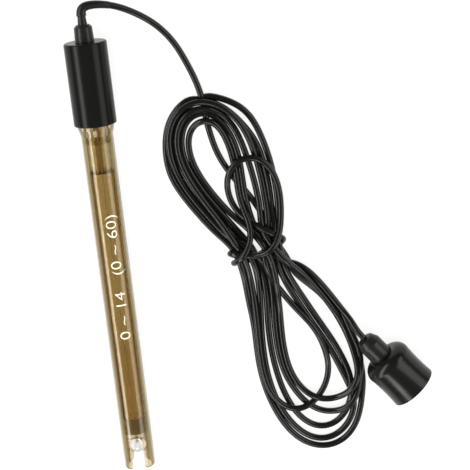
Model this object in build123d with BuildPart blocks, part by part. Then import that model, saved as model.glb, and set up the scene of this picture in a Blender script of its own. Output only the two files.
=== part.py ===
from math import acos, atan2, cos, degrees, pi, radians, sin, tan
import os

from build123d import *

# pH electrode with a slotted guard, a moulded head cap and a signal cable to a bayonet plug.
# Millimetres, +Z up. It lies on the surface z = 0: the shaft runs along Y with its guard towards
# -Y, resting on the root of the guard slot and on the lower rim of the wider cap. Stations along
# the electrode are distances from the prong ends, and stations in the plug are distances from
# its mouth.

# Shaft: one moulded amber tube
tube_radius = 6.0
tube_wall = 1.1
flange_step = 0.8
flange_thickness = 1.3
flange_cone = 2.6
spigot_end_depth = 19.6
slot_width = 4.8
slot_root = 13.5
prong_corner = 1.2

# Head cap
cap_radius = 8.0
cap_wall = 1.5
cap_start = 138.7
cap_length = 30.9
cap_top_wall = 3.0
cap_top_edge = 0.7
cap_lower_edge = 0.3
cap_clearance = 0.1

# Strain relief moulding in the cap's top
gland_base_radius = 3.6
gland_top_radius = 3.3
gland_height = 6.3
gland_edge = 0.9
gland_neck_radius = 2.5
gland_flange_radius = 4.2
gland_flange_thickness = 1.6
spout_length = 3.2
spout_base_radius = 1.75
spout_tip_radius = 1.5

# Glass stem with its blown bulb, and what it holds
stem_radius = 3.4
stem_wall = 0.5
stem_recess = 4.0
bulb_radius = 3.9
bulb_wall = 0.4
bulb_recess = 4.7
buffer_level = 51.7
stopper_length = 6.0
wire_radius = 0.3
wire_bend = 1.2
inner_wire_stand_off = 0.9

# Reference chamber between the stem and the tube
seal_gap = 1.1
seal_length = 6.4
junction_radius = 0.5
junction_stand_out = 0.4
gel_below_cap = 18.0
gel_clearance = 0.1
wire_clearance = 0.1
seal_clearance = 0.05
reference_wire_above_seal = 17.0
collar_below_cap = 7.0
collar_length = 1.6
collar_notch = 0.45

# Inside the cap
potting_gap = 0.2
core_joint_depth = 12.1
core_sleeve_length = 3.0
core_sleeve_wall = 0.4
screen_sleeve_length = 2.4
screen_sleeve_wall = 0.3
reference_bend_rise = 0.9

# Cable: jacket, braid, core insulation and conductor
cable_radius = 1.25
braid_radius = 0.9
insulation_radius = 0.6
conductor_radius = 0.25
cable_clearance = 0.1
strip_step = 2.0

# Bayonet plug, on its side on the same surface
mouth_x = 110.6
mouth_y = -67.9
plug_turn = -51.6
hood_radius = 9.7
hood_waist_depth = 0.3
hood_waist = 5.4
hood_shoulder = 14.2
hood_collar_wall = 0.65
hood_rim_wall = 1.6
hood_rim_depth = 1.2
boot_radius = 4.6
boot_inset = 0.8
boot_length = 10.8
boot_taper = 3.2
boot_end_radius = 3.2
boot_edge = 0.5
turning_clearance = 0.25
bond_gap = 0.05

# Coupling sleeve with two bayonet slots
sleeve_radius = 7.2
sleeve_bore = 4.95
lip_thickness = 2.0
bayonet_width = 2.3
bayonet_entry = 3.0
bayonet_entry_radius = 5.9
bayonet_turn = 75.0
bayonet_rise = 3.6
bayonet_steps = 6
detent_radius = 1.3

# Plug body and contacts
shell_radius = 4.05
shell_wall = 0.55
shell_recess = 2.0
shell_end = 10.4
body_flange_radius = 4.85
body_flange_thickness = 1.6
neck_radius = 3.9
neck_shoulder = 0.8
neck_clearance = 0.1
crimp_radius = 2.2
crimp_bore = 1.0
crimp_length = 5.9
insulator_radius = 2.3
insulator_recess = 3.8
insulator_stop = 0.6
pin_radius = 0.675
pin_recess = 2.4
pin_cup_radius = 0.85
pin_cup_length = 2.4
contact_clearance = 0.05
gasket_thickness = 1.0
gasket_gap = 0.07
ferrule_wall = 0.7
ferrule_gap = 0.6
ferrule_overhang = 0.2
ferrule_cone = 1.8
washer_thickness = 0.25
washer_dish = 0.45
sleeve_travel = 0.4
stop_gap = 0.1
ring_thickness = 0.5
ring_radius = 4.7
ring_groove = 0.4
ring_opening = 44.0

# Cable run: points on the surface or above it, chosen to follow the cable as it lies
bend_share = 0.45
lead_first_run = 1.7
lead_route = [
    (0.9, 92.5, 8.65),
    (2.7, 93.15, 8.5),
    (6.8, 93.1, 7.9),
    (12.6, 91.7, 6.0),
    (19.4, 88.2, 4.0),
    (26.4, 83.1, 2.4),
    (32.2, 76.0, 1.6),
    (36.2, 67.4, 1.3),
    (39.4, 58.6, 1.3),
    (41.0, 50.0, 1.3),
]
tail_first_run = 3.4
tail_route = [
    (88.8, -38.8, 7.8),
    (86.2, -35.2, 5.0),
    (82.0, -31.0, 4.0),
]
hank_height = 11.0
hank_edge = 2.5

# The two lobes of the hank, as the round bends that its outer turns lie against: x, y, radius
upper_lobe = [
    (41.0, 38.5, 17.0),
    (36.5, 27.0, 12.0),
    (53.0, 29.0, 12.5),
    (57.0, -4.0, 10.5),
]
lower_lobe = [
    (57.0, -12.0, 10.0),
    (72.0, -33.0, 12.5),
    (75.5, -49.0, 13.2),
    (72.5, -74.5, 20.0),
]

# Places that follow from the sizes above
tube_bore = tube_radius - tube_wall
flange_radius = tube_radius + flange_step
spigot_radius = cap_radius - cap_wall - cap_clearance
cap_end = cap_start + cap_length
tube_end = cap_end - spigot_end_depth
gland_top = cap_end + gland_height
spout_end = gland_top + spout_length
lean = degrees(atan2(cap_radius - tube_radius, cap_start - slot_root))
axis_height = tube_radius / cos(radians(lean)) - slot_root * sin(radians(lean))
foot = Vector(0, -spout_end * cos(radians(lean)) / 2, axis_height)
along = Vector(0, cos(radians(lean)), sin(radians(lean)))
electrode_axis = Axis(foot, along)
electrode = Plane(origin=foot, x_dir=(1, 0, 0), z_dir=along)
section = Plane(origin=foot, x_dir=(1, 0, 0), z_dir=(0, -along.Z, along.Y))

stem_bore = stem_radius - stem_wall
stem_end = tube_end - stem_recess
bulb_centre = bulb_recess + bulb_radius
inner_wire_start = bulb_centre + inner_wire_stand_off
seal_start = slot_root + seal_gap
seal_end = seal_start + seal_length
gel_level = cap_start - gel_below_cap
reference_wire_start = seal_end + reference_wire_above_seal
collar_station = cap_start - collar_below_cap
annulus_radius = (stem_radius + tube_bore) / 2
cap_bore = cap_radius - cap_wall
cap_ceiling = cap_end - cap_top_wall
cable_bore = cable_radius + cable_clearance
wire_bore = wire_radius + wire_clearance
potting_start = stem_end + potting_gap
core_joint = cap_end - core_joint_depth
potting_end = core_joint - core_sleeve_length / 2
reference_bend = potting_end + reference_bend_rise

mouth = Vector(mouth_x, mouth_y, hood_radius)
plug_back = Vector(-cos(radians(plug_turn)), -sin(radians(plug_turn)), 0)
plug_side = Vector(-sin(radians(plug_turn)), cos(radians(plug_turn)), 0)
plug_axis = Axis(mouth, plug_back)
plug = Plane(origin=mouth, x_dir=plug_side, z_dir=plug_back)
plug_section = Plane(origin=mouth, x_dir=plug_side, z_dir=(0, 0, 1))

hood_waist_radius = hood_radius - hood_waist_depth
hood_rim_bore = hood_radius - hood_rim_wall
hood_collar_bore = boot_radius + turning_clearance
hood_dome = hood_radius - hood_collar_wall - hood_collar_bore
hood_end = hood_shoulder + hood_dome
sleeve_front = hood_rim_depth
shell_front = sleeve_front + shell_recess
insulator_start = shell_front + insulator_recess
pin_front = sleeve_front + pin_recess
body_flange_back = shell_end + body_flange_thickness
washer_front = body_flange_back + sleeve_travel + contact_clearance
washer_back = washer_front + washer_thickness + washer_dish
lip_front = washer_back + contact_clearance
sleeve_back = lip_front + lip_thickness
ring_front = sleeve_back + stop_gap
ring_back = ring_front + ring_thickness
neck_end = ring_back + neck_shoulder
insulator_end = neck_end - insulator_stop
crimp_end = neck_end + crimp_length
ferrule_start = neck_end + ferrule_gap
ferrule_step = crimp_end + ferrule_overhang
ferrule_end = ferrule_step + ferrule_cone
boot_start = neck_end + boot_inset
boot_end = boot_start + boot_length
boot_shoulder = boot_end - boot_taper


# The shaft is one moulding: tube, flange under the cap and the spigot that the cap slides over.
# A wide slot through both walls leaves two prongs that guard the glass bulb.
with BuildPart() as body_tube:
    with BuildSketch(section):
        with BuildLine():
            Polyline(
                (tube_bore, 0),
                (tube_radius, 0),
                (tube_radius, cap_start - flange_thickness - flange_cone),
                (flange_radius, cap_start - flange_thickness),
                (flange_radius, cap_start),
                (spigot_radius, cap_start),
                (spigot_radius, tube_end),
                (tube_bore, tube_end),
                close=True,
            )
        make_face()
    revolve(axis=electrode_axis)
    with BuildSketch(section):
        with Locations((0, slot_root - slot_width / 2)):
            Circle(slot_width / 2)
            Rectangle(slot_width, slot_root, align=(Align.CENTER, Align.MAX))
    extrude(amount=2 * tube_radius, both=True, mode=Mode.SUBTRACT)
    prong_corners = body_tube.edges().filter_by(GeomType.LINE).sort_by(electrode_axis)[:4]
    fillet(prong_corners, prong_corner)

# The head cap is open below and has a plain hole in its top for the strain relief.
with BuildPart() as head_cap:
    with BuildSketch(section):
        with BuildLine():
            Polyline(
                (cap_bore, cap_start),
                (cap_radius, cap_start),
                (cap_radius, cap_end),
                (gland_neck_radius, cap_end),
                (gland_neck_radius, cap_ceiling),
                (cap_bore, cap_ceiling),
                close=True,
            )
        make_face()
    revolve(axis=electrode_axis)
    cap_rims = head_cap.edges().filter_by(GeomType.CIRCLE).sort_by(SortBy.RADIUS)[-2:]
    cap_rims = cap_rims.sort_by(electrode_axis)
    chamfer(cap_rims[0], cap_lower_edge)
    fillet(cap_rims[1], cap_top_edge)

# The strain relief is a rubber moulding: a tower on the cap, a neck through the hole, a flange
# behind the cap's ceiling and a thin spout that the cable leaves by.
with BuildPart() as cable_gland:
    with BuildSketch(section):
        with BuildLine():
            Polyline(
                (cable_bore, cap_ceiling - gland_flange_thickness),
                (gland_flange_radius, cap_ceiling - gland_flange_thickness),
                (gland_flange_radius, cap_ceiling),
                (gland_neck_radius, cap_ceiling),
                (gland_neck_radius, cap_end),
                (gland_base_radius, cap_end),
                (gland_top_radius, gland_top),
                (spout_base_radius, gland_top),
                (spout_tip_radius, spout_end),
                (cable_bore, spout_end),
                close=True,
            )
        make_face()
    revolve(axis=electrode_axis)
    tower_rim = cable_gland.edges().filter_by(GeomType.CIRCLE).sort_by(
        lambda edge: abs(edge.radius - gland_top_radius)
    )[0]
    chamfer(tower_rim, gland_edge)

# The stem is blown from one glass tube, so its wall runs on into the bulb. It is open above.
with BuildPart() as glass_stem:
    outer_turn = degrees(acos(stem_radius / bulb_radius))
    inner_turn = degrees(acos(stem_bore / (bulb_radius - bulb_wall)))
    with BuildSketch(section):
        with BuildLine():
            outside = CenterArc((0, bulb_centre), bulb_radius, -90, 90 + outer_turn)
            inside = CenterArc((0, bulb_centre), bulb_radius - bulb_wall, -90, 90 + inner_turn)
            Line(inside @ 0, outside @ 0)
            Polyline(outside @ 1, (stem_radius, stem_end), (stem_bore, stem_end), inside @ 1)
        make_face()
    revolve(axis=electrode_axis)

# The buffer that fills the bulb and the lower stem, round the inner wire.
with BuildPart() as inner_buffer:
    fill_radius = bulb_radius - bulb_wall - gel_clearance
    fill_bore = stem_bore - gel_clearance
    fill_turn = degrees(acos(fill_bore / fill_radius))
    with BuildSketch(section):
        with BuildLine():
            fill_arc = CenterArc((0, bulb_centre), fill_radius, -90, 90 + fill_turn)
            Polyline(fill_arc @ 1, (fill_bore, buffer_level), (0, buffer_level), fill_arc @ 0)
        make_face()
    revolve(axis=electrode_axis)
    with BuildSketch(electrode.offset(inner_wire_start - wire_clearance)):
        Circle(wire_bore)
    extrude(amount=buffer_level, mode=Mode.SUBTRACT)

# The inner wire runs up the stem's centre to the joint with the cable's conductor.
with BuildPart() as inner_wire:
    with BuildSketch(electrode.offset(inner_wire_start)):
        Circle(wire_radius)
    extrude(amount=core_joint - inner_wire_start)

with BuildPart() as stem_stopper:
    with BuildSketch(electrode.offset(stem_end - stopper_length)):
        Circle(stem_bore - seal_clearance)
        Circle(wire_bore, mode=Mode.SUBTRACT)
    extrude(amount=stopper_length)

# The reference wire stands in the gel beside the stem, then bends in to the cable's braid.
with BuildPart() as reference_wire:
    braid_offset = braid_radius + wire_radius + seal_clearance
    reference_wire_end = core_joint + 2 * strip_step + screen_sleeve_length
    bend_rise = annulus_radius - braid_offset
    with BuildLine(section):
        wire_path = FilletPolyline(
            (annulus_radius, reference_wire_start),
            (annulus_radius, reference_bend),
            (braid_offset, reference_bend + bend_rise),
            (braid_offset, reference_wire_end),
            radius=wire_bend,
        )
    with BuildSketch(Plane(origin=wire_path @ 0, x_dir=(1, 0, 0), z_dir=along)):
        Circle(wire_radius)
    sweep()

# The gel fills the space between tube and stem, with the reference wire's place left open.
with BuildPart() as reference_gel:
    with BuildSketch(electrode.offset(seal_end)):
        Circle(tube_bore - gel_clearance)
        Circle(stem_radius + gel_clearance, mode=Mode.SUBTRACT)
    extrude(amount=gel_level - seal_end)
    with BuildSketch(electrode.offset(reference_wire_start - wire_clearance)):
        with Locations((annulus_radius, 0)):
            Circle(wire_bore)
    extrude(amount=gel_level, mode=Mode.SUBTRACT)

# The dark seal closes the reference chamber below and holds the porous junction.
with BuildPart() as seal_plug:
    with BuildSketch(electrode.offset(seal_start)):
        Circle(tube_bore - seal_clearance)
        Circle(stem_radius + seal_clearance, mode=Mode.SUBTRACT)
        with Locations((-annulus_radius, 0)):
            Circle(junction_radius + seal_clearance, mode=Mode.SUBTRACT)
    extrude(amount=seal_length)

with BuildPart() as junction_plug:
    with BuildSketch(electrode.offset(seal_start - junction_stand_out)):
        with Locations((-annulus_radius, 0)):
            Circle(junction_radius)
    extrude(amount=seal_length + junction_stand_out)

# A collar centres the stem near the top of the tube and lets the reference wire past.
with BuildPart() as stem_collar:
    with BuildSketch(electrode.offset(collar_station)):
        Circle(tube_bore - gel_clearance)
        Circle(stem_radius + seal_clearance, mode=Mode.SUBTRACT)
        with Locations((annulus_radius, 0)):
            Circle(collar_notch, mode=Mode.SUBTRACT)
    extrude(amount=collar_length)

# Cast resin closes the tube under the cap, round the two wires.
with BuildPart() as potting:
    with BuildSketch(section):
        with BuildLine():
            Polyline(
                (wire_bore, potting_start),
                (tube_bore - seal_clearance, potting_start),
                (tube_bore - seal_clearance, tube_end + potting_gap),
                (spigot_radius, tube_end + potting_gap),
                (spigot_radius, potting_end),
                (wire_bore, potting_end),
                close=True,
            )
        make_face()
    revolve(axis=electrode_axis)
    with BuildSketch(electrode.offset(potting_start)):
        with Locations((annulus_radius, 0)):
            Circle(wire_bore)
    extrude(amount=potting_end - potting_start, mode=Mode.SUBTRACT)

# The cable's fixed end in the cap, stripped in steps down to the conductor.
with BuildPart() as cable_cap_end:
    with BuildSketch(section):
        with BuildLine():
            Polyline(
                (0, core_joint),
                (conductor_radius, core_joint),
                (conductor_radius, core_joint + strip_step),
                (insulation_radius, core_joint + strip_step),
                (insulation_radius, core_joint + 2 * strip_step),
                (braid_radius, core_joint + 2 * strip_step),
                (braid_radius, core_joint + 2 * strip_step + screen_sleeve_length),
                (cable_radius, core_joint + 2 * strip_step + screen_sleeve_length),
                (cable_radius, spout_end),
                (0, spout_end),
                close=True,
            )
        make_face()
    revolve(axis=electrode_axis)

with BuildPart() as core_sleeve:
    with BuildSketch(electrode.offset(core_joint - core_sleeve_length / 2)):
        Circle(wire_bore + core_sleeve_wall)
        Circle(wire_bore, mode=Mode.SUBTRACT)
    extrude(amount=core_sleeve_length)

with BuildPart() as screen_sleeve:
    screen_bore = braid_radius + wire_radius + wire_clearance
    with BuildSketch(electrode.offset(core_joint + 2 * strip_step + seal_clearance)):
        with Locations((wire_radius + seal_clearance / 2, 0)):
            Circle(screen_bore + screen_sleeve_wall)
            Circle(screen_bore, mode=Mode.SUBTRACT)
    extrude(amount=screen_sleeve_length - 2 * seal_clearance)

# The plug's body is turned from one bar: contact shell, flange, neck and crimp stem.
with BuildPart() as plug_body:
    with BuildSketch(plug_section):
        with BuildLine():
            Polyline(
                (shell_radius - shell_wall, shell_front),
                (shell_radius, shell_front),
                (shell_radius, shell_end),
                (body_flange_radius, shell_end),
                (body_flange_radius, body_flange_back),
                (neck_radius, body_flange_back),
                (neck_radius, ring_front),
                (neck_radius - ring_groove, ring_front),
                (neck_radius - ring_groove, ring_back),
                (neck_radius, ring_back),
                (neck_radius, neck_end),
                (crimp_radius, neck_end),
                (crimp_radius, crimp_end),
                (crimp_bore, crimp_end),
                (crimp_bore, insulator_end + contact_clearance),
                (insulator_radius + contact_clearance, insulator_end + contact_clearance),
                (insulator_radius + contact_clearance, shell_end),
                (shell_radius - shell_wall, shell_end),
                close=True,
            )
        make_face()
    revolve(axis=plug_axis)

with BuildPart() as plug_insulator:
    with BuildSketch(plug.offset(insulator_start)):
        Circle(insulator_radius)
        Circle(pin_radius + contact_clearance, mode=Mode.SUBTRACT)
    extrude(amount=insulator_end - insulator_start)

# The centre contact has a rounded tip and a cup behind the insulator for the conductor.
with BuildPart() as plug_pin:
    pin_cup_front = insulator_end + 2 * contact_clearance
    with BuildSketch(plug_section):
        with BuildLine():
            tip = CenterArc((0, pin_front + pin_radius), pin_radius, -90, 90)
            Polyline(
                tip @ 1,
                (pin_radius, pin_cup_front),
                (pin_cup_radius, pin_cup_front),
                (pin_cup_radius, pin_cup_front + pin_cup_length),
                (conductor_radius + contact_clearance, pin_cup_front + pin_cup_length),
                (conductor_radius + contact_clearance, pin_cup_front),
                (0, pin_cup_front),
                tip @ 0,
            )
        make_face()
    revolve(axis=plug_axis)

with BuildPart() as plug_gasket:
    with BuildSketch(plug.offset(shell_end - gasket_thickness)):
        Circle(body_flange_radius - contact_clearance)
        Circle(shell_radius + gasket_gap, mode=Mode.SUBTRACT)
    extrude(amount=gasket_thickness)

# A dished spring washer stands between the body's flange and the sleeve's lip.
with BuildPart() as spring_washer:
    with BuildSketch(plug_section):
        with BuildLine():
            washer_inner = neck_radius + neck_clearance
            Polyline(
                (washer_inner, washer_back - washer_dish),
                (washer_inner, washer_front),
                (body_flange_radius, washer_back - washer_thickness),
                (body_flange_radius, washer_back),
                close=True,
            )
        make_face()
    revolve(axis=plug_axis)

# The open ring behind the lip keeps the coupling sleeve on the body.
with BuildPart() as retaining_ring:
    with BuildSketch(plug.offset(ring_front + contact_clearance)):
        Circle(ring_radius)
        Circle(neck_radius - ring_groove + contact_clearance, mode=Mode.SUBTRACT)
        with BuildLine():
            reach = 2 * ring_radius
            half_opening = radians(ring_opening / 2)
            Polyline(
                (0, 0),
                (reach * cos(half_opening), reach * sin(half_opening)),
                (reach * cos(half_opening), -reach * sin(half_opening)),
                close=True,
            )
        make_face(mode=Mode.SUBTRACT)
    extrude(amount=ring_thickness - 2 * contact_clearance)

# The coupling sleeve has two entries for the socket's studs. Each runs into a slot that climbs
# round the wall and ends in a round seat.
with BuildPart() as coupling_sleeve:
    with BuildSketch(plug_section):
        with BuildLine():
            Polyline(
                (sleeve_bore, sleeve_front),
                (sleeve_radius, sleeve_front),
                (sleeve_radius, sleeve_back),
                (neck_radius + neck_clearance, sleeve_back),
                (neck_radius + neck_clearance, lip_front),
                (sleeve_bore, lip_front),
                close=True,
            )
        make_face()
    revolve(axis=plug_axis)
    with BuildSketch(plug.offset(sleeve_front)):
        Rectangle(bayonet_width, 2 * bayonet_entry_radius)
    extrude(amount=bayonet_entry, mode=Mode.SUBTRACT)
    for start in (90, 270):
        for step in range(bayonet_steps + 1):
            share = step / bayonet_steps
            station = sleeve_front + bayonet_entry + share * bayonet_rise
            turn = start + share * bayonet_turn
            hole_radius = detent_radius if step == bayonet_steps else bayonet_width / 2
            stud_plane = Plane(
                origin=mouth + plug_back * station,
                x_dir=plug_back,
                z_dir=plug_side * cos(radians(turn)) + plug.y_dir * sin(radians(turn)),
            )
            with BuildSketch(stud_plane):
                Circle(hole_radius)
            extrude(amount=sleeve_radius, mode=Mode.SUBTRACT)

# The grip is moulded round the sleeve: a bell with a domed shoulder, a slight waist and an open
# mouth. Its rear collar turns round the boot.
with BuildPart() as plug_hood:
    with BuildSketch(plug_section):
        with BuildLine():
            flank = ThreePointArc(
                (hood_radius, 0),
                (hood_waist_radius, hood_waist),
                (hood_radius, hood_shoulder),
            )
            dome = CenterArc((hood_radius - hood_dome, hood_shoulder), hood_dome, 0, 90)
            Polyline(
                dome @ 1,
                (hood_collar_bore, hood_end),
                (hood_collar_bore, neck_end),
                (ring_radius + turning_clearance, neck_end),
                (ring_radius + turning_clearance, sleeve_back),
                (sleeve_radius + bond_gap, sleeve_back),
                (sleeve_radius + bond_gap, sleeve_front),
                (hood_rim_bore, 0),
                flank @ 0,
            )
        make_face()
    revolve(axis=plug_axis)

with BuildPart() as crimp_ferrule:
    with BuildSketch(plug_section):
        with BuildLine():
            Polyline(
                (crimp_radius + contact_clearance, ferrule_start),
                (crimp_radius + ferrule_wall, ferrule_start),
                (crimp_radius + ferrule_wall, ferrule_step),
                (cable_bore + ferrule_wall / 2, ferrule_end),
                (cable_bore, ferrule_end),
                (cable_bore, ferrule_step),
                (crimp_radius + contact_clearance, ferrule_step),
                close=True,
            )
        make_face()
    revolve(axis=plug_axis)

# The boot covers the ferrule and narrows to the cable.
with BuildPart() as plug_boot:
    with BuildSketch(plug_section):
        with BuildLine():
            boot_bore = crimp_radius + ferrule_wall + cable_clearance
            Polyline(
                (boot_bore, boot_start),
                (boot_radius, boot_start),
                (boot_radius, boot_shoulder),
                (boot_end_radius, boot_end),
                (cable_bore, boot_end),
                (cable_bore, ferrule_end + cable_clearance),
                (boot_bore, ferrule_end + cable_clearance),
                close=True,
            )
        make_face()
    revolve(axis=plug_axis)
    boot_rims = plug_boot.edges().filter_by(GeomType.CIRCLE).sort_by(
        lambda edge: abs(edge.radius - boot_end_radius)
    )[:1]
    chamfer(boot_rims, boot_edge)

# The cable's fixed end in the plug: conductor in the pin's cup, insulation in the crimp stem.
with BuildPart() as cable_plug_end:
    with BuildSketch(plug_section):
        with BuildLine():
            conductor_start = pin_cup_front + contact_clearance
            insulation_start = pin_cup_front + pin_cup_length + contact_clearance
            Polyline(
                (0, conductor_start),
                (conductor_radius, conductor_start),
                (conductor_radius, insulation_start),
                (insulation_radius, insulation_start),
                (insulation_radius, ferrule_step + contact_clearance),
                (cable_radius, ferrule_step + contact_clearance),
                (cable_radius, boot_end),
                (0, boot_end),
                close=True,
            )
        make_face()
    revolve(axis=plug_axis)

# The hank: six flattened turns of cable, tied at the waist, as one body of their outer shape.
with BuildSketch() as upper_turns:
    for x, y, radius in upper_lobe:
        with Locations((x, y)):
            Circle(radius)
    make_hull()

with BuildSketch() as lower_turns:
    for x, y, radius in lower_lobe:
        with Locations((x, y)):
            Circle(radius)
    make_hull()

with BuildPart() as cable_hank:
    with BuildSketch():
        add(upper_turns.sketch)
        add(lower_turns.sketch)
    extrude(amount=hank_height)
    hank_rims = cable_hank.edges().group_by(Axis.Z)
    chamfer(hank_rims[0] + hank_rims[-1], hank_edge)


def bend_radii(points):
    """Return the largest arc that each corner's two runs leave room for."""
    radii = []
    for before, corner, after in zip(points, points[1:], points[2:]):
        run_in = Vector(*corner) - Vector(*before)
        run_out = Vector(*after) - Vector(*corner)
        half_turn = radians(run_in.get_angle(run_out) / 2)
        radii.append(bend_share * min(run_in.length, run_out.length) / tan(half_turn))
    return radii


# The stretch from the strain relief to the hank bends over at once and comes down to the surface.
with BuildPart() as cable_lead:
    lead_start = foot + along * spout_end
    lead_points = [tuple(lead_start), tuple(lead_start + along * lead_first_run), *lead_route]
    lead_radii = bend_radii(lead_points)
    with BuildLine():
        lead_path = FilletPolyline(*lead_points, radius=lead_radii)
    with BuildSketch(electrode.offset(spout_end)):
        Circle(cable_radius)
    sweep()
    lead_share = lead_path.length
    lead_volume = cable_lead.part.volume
    add(cable_hank.part, mode=Mode.SUBTRACT)

# The stretch from the plug's boot to the hank.
with BuildPart() as cable_tail:
    tail_start = mouth + plug_back * boot_end
    tail_points = [tuple(tail_start), tuple(tail_start + plug_back * tail_first_run), *tail_route]
    tail_radii = bend_radii(tail_points)
    with BuildLine():
        tail_path = FilletPolyline(*tail_points, radius=tail_radii)
    with BuildSketch(plug.offset(boot_end)):
        Circle(cable_radius)
    sweep()
    tail_share = tail_path.length
    tail_volume = cable_tail.part.volume
    add(cable_hank.part, mode=Mode.SUBTRACT)

cable_section = pi * cable_radius**2
print("lead radii", [round(radius, 1) for radius in lead_radii])
print("lead volume over section times length", round(lead_volume / (cable_section * lead_share), 4))
print("tail radii", [round(radius, 1) for radius in tail_radii])
print("tail volume over section times length", round(tail_volume / (cable_section * tail_share), 4))

cable_pieces = {
    "cable_lead": cable_lead,
    "cable_hank": cable_hank,
    "cable_tail": cable_tail,
}
electrode_pieces = {
    "body_tube": body_tube,
    "head_cap": head_cap,
    "cable_gland": cable_gland,
    "glass_stem": glass_stem,
    "inner_buffer": inner_buffer,
    "inner_wire": inner_wire,
    "stem_stopper": stem_stopper,
    "reference_wire": reference_wire,
    "reference_gel": reference_gel,
    "seal_plug": seal_plug,
    "junction_plug": junction_plug,
    "stem_collar": stem_collar,
    "potting": potting,
    "cable_cap_end": cable_cap_end,
    "core_sleeve": core_sleeve,
    "screen_sleeve": screen_sleeve,
}
plug_pieces = {
    "plug_body": plug_body,
    "plug_insulator": plug_insulator,
    "plug_pin": plug_pin,
    "plug_gasket": plug_gasket,
    "spring_washer": spring_washer,
    "retaining_ring": retaining_ring,
    "coupling_sleeve": coupling_sleeve,
    "plug_hood": plug_hood,
    "crimp_ferrule": crimp_ferrule,
    "plug_boot": plug_boot,
    "cable_plug_end": cable_plug_end,
}

os.makedirs("parts", exist_ok=True)
for label, piece in {**electrode_pieces, **plug_pieces, **cable_pieces}.items():
    piece.part.label = label
    export_step(piece.part, f"parts/{label}.step")
    print(label, round(piece.part.volume, 2))
print("foot", foot, "lean", round(lean, 3), "spout end", foot + along * spout_end)
print("boot end", mouth + plug_back * boot_end)
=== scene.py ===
# %% [markdown]
# A pH electrode lying on a white table, with its cable tied in a hank and a bayonet plug at the
# cable's end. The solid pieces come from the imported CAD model, which is the fixed frame: its
# nodes keep their shape and place and only get finishes here. The cable, its bend sleeve, the gel
# and the printed numbers are made in this file, in metres, in the same frame.

import math

import bmesh
import bpy
import numpy as np
from mathutils import Matrix, Vector


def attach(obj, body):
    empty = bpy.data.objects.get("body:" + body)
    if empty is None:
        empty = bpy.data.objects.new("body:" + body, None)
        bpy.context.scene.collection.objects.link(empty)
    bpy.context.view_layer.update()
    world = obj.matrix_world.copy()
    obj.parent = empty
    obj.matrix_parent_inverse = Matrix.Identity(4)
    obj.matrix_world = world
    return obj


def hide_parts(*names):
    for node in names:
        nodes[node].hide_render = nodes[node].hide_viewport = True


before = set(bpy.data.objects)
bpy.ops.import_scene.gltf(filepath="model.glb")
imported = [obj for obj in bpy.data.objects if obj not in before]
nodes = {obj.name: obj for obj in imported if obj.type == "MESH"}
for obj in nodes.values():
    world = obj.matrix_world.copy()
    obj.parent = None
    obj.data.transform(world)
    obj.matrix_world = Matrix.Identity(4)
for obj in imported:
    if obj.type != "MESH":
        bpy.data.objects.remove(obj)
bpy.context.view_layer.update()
MM = 0.001

# %% [markdown]
# The camera comes first, because the cable is laid against the picture. The photograph
# looks down on the table, a little from the cap's end, with the camera turned a few degrees, so
# the electrode leans to the left. A look-at camera could be turned afterwards, but here the three
# camera directions are written out, because then the turn is one plain number.

# %% Camera
CAMERA_TILT = math.radians(15.03)
CAMERA_ROLL = math.radians(-6.09)
CAMERA_DISTANCE = 560 * MM
CAMERA_TARGET = Vector((47.35, -1.39, 0)) * MM
SENSOR_WIDTH = 36.0
FOCAL_PIXELS = 1444.62
PICTURE_PIXELS = 470
NEAREST_SEEN = 0.01

look = Vector((0, -math.sin(CAMERA_TILT), -math.cos(CAMERA_TILT)))
level_right = Vector((1, 0, 0))
level_up = Vector((0, math.cos(CAMERA_TILT), -math.sin(CAMERA_TILT)))
right = math.cos(CAMERA_ROLL) * level_right + math.sin(CAMERA_ROLL) * level_up
up = -math.sin(CAMERA_ROLL) * level_right + math.cos(CAMERA_ROLL) * level_up

camera = bpy.data.objects.new("camera", bpy.data.cameras.new("camera"))
camera.data.sensor_width = SENSOR_WIDTH
camera.data.lens = FOCAL_PIXELS / PICTURE_PIXELS * SENSOR_WIDTH
camera.data.clip_start = NEAREST_SEEN
turn = Matrix((right, up, -look)).transposed()
camera.matrix_world = Matrix.Translation(CAMERA_TARGET - look * CAMERA_DISTANCE) @ turn.to_4x4()
bpy.context.collection.objects.link(camera)
bpy.context.scene.camera = camera
bpy.context.scene.view_settings.view_transform = "Standard"
print("lens", round(camera.data.lens, 2), "at", tuple(round(v, 4) for v in camera.location))

# %% [markdown]
# A mesh helper. Every new surface in this file is a grid of points that a function works out as
# whole arrays. The helper turns such a grid into a mesh: its rows and columns become quads. The
# last column can join the first, as the way round a tube does, and a row whose points all lie in
# one place becomes a pole. The same shapes could be cut and joined with Blender's own operators,
# but a grid keeps every edge where its formula puts it.


# %% Grid to mesh
POLE_GAP = 1e-8


def link(data, name):
    piece = bpy.data.objects.new(name, data)
    bpy.context.collection.objects.link(piece)
    return piece


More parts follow.
